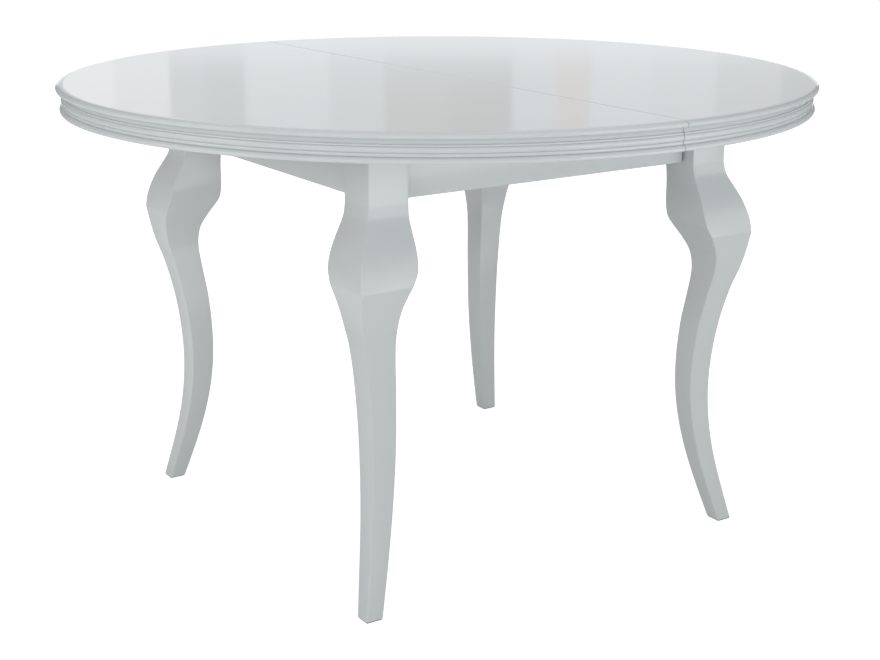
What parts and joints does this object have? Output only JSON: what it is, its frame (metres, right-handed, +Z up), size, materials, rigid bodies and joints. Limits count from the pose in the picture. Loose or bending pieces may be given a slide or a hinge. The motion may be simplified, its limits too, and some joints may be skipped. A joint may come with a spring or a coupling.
{
  "type": "extendable dining table",
  "caption": "Round white dining table on square cabriole legs. Its top parts at a central seam, and both halves slide outwards on wooden runners to take a loose leaf.",
  "frame": {"origin": "centre of the footprint on the floor, under the middle of the closed top", "axes": "+Z up; the seam lies along Y in the plane x = 0; the halves slide apart along X; -Y is the front"},
  "size_m": [1.25, 1.25, 0.76],
  "materials": {
    "white_lacquer": "sprayed gloss white lacquer over fine-grained board and solid wood",
    "beech": "planed beech, waxed where it slides",
    "zinc_steel": "zinc-plated steel",
    "brass": "turned brass",
    "nylon": "smooth white nylon",
    "felt": "pressed grey felt"
  },
  "bodies": {
    "frame": {"leg_front_left": "white_lacquer", "foot_pad_front_left": "felt", "corner_plate_front_left": "zinc_steel", "leg_bolt_front_left": "zinc_steel", "leg_nut_front_left": "zinc_steel", "leg_front_right": "white_lacquer", "foot_pad_front_right": "felt", "corner_plate_front_right": "zinc_steel", "leg_bolt_front_right": "zinc_steel", "leg_nut_front_right": "zinc_steel", "leg_back_left": "white_lacquer", "foot_pad_back_left": "felt", "corner_plate_back_left": "zinc_steel", "leg_bolt_back_left": "zinc_steel", "leg_nut_back_left": "zinc_steel", "leg_back_right": "white_lacquer", "foot_pad_back_right": "felt", "corner_plate_back_right": "zinc_steel", "leg_bolt_back_right": "zinc_steel", "leg_nut_back_right": "zinc_steel", "rail_front": "white_lacquer", "glide_strip_front": "nylon", "rail_back": "white_lacquer", "glide_strip_back": "nylon", "rail_left": "white_lacquer", "glide_strip_left": "nylon", "rail_right": "white_lacquer", "glide_strip_right": "nylon", "cross_bar": "beech", "slide_guide_front": "beech", "slide_guide_back": "beech"},
    "top_left": {"top_panel_left": "white_lacquer", "edge_ring_left": "white_lacquer", "seam_cleat_left": "beech", "runner_left_front": "beech", "stop_block_left_front": "beech", "runner_left_back": "beech", "stop_block_left_back": "beech", "latch_pivot_front": "zinc_steel", "latch_pivot_back": "zinc_steel", "seam_pin_1": "brass", "seam_pin_2": "brass", "seam_pin_3": "brass", "seam_pin_4": "brass"},
    "top_right": {"top_panel_right": "white_lacquer", "edge_ring_right": "white_lacquer", "seam_cleat_right": "beech", "runner_right_front": "beech", "stop_block_right_front": "beech", "runner_right_back": "beech", "stop_block_right_back": "beech", "latch_keeper_front": "zinc_steel", "latch_keeper_back": "zinc_steel"},
    "latch_front": {"latch_lever_front": "zinc_steel"},
    "latch_back": {"latch_lever_back": "zinc_steel"}
  },
  "joints": [
    {"name": "left_half_slide", "type": "slide", "parent": "frame", "child": "top_left", "axis": [-1, 0, 0], "range_m": [0, 0.204]},
    {"name": "right_half_slide", "type": "slide", "parent": "frame", "child": "top_right", "axis": [1, 0, 0], "range_m": [0, 0.204]},
    {"name": "front_latch_turn", "type": "hinge", "parent": "top_left", "child": "latch_front", "pos_m": [-0.026, -0.0803, 0.715], "axis": [0, 0, -1], "range_deg": [0, 90]},
    {"name": "back_latch_turn", "type": "hinge", "parent": "top_left", "child": "latch_back", "pos_m": [-0.026, 0.0803, 0.715], "axis": [0, 0, 1], "range_deg": [0, 90]}
  ]
}
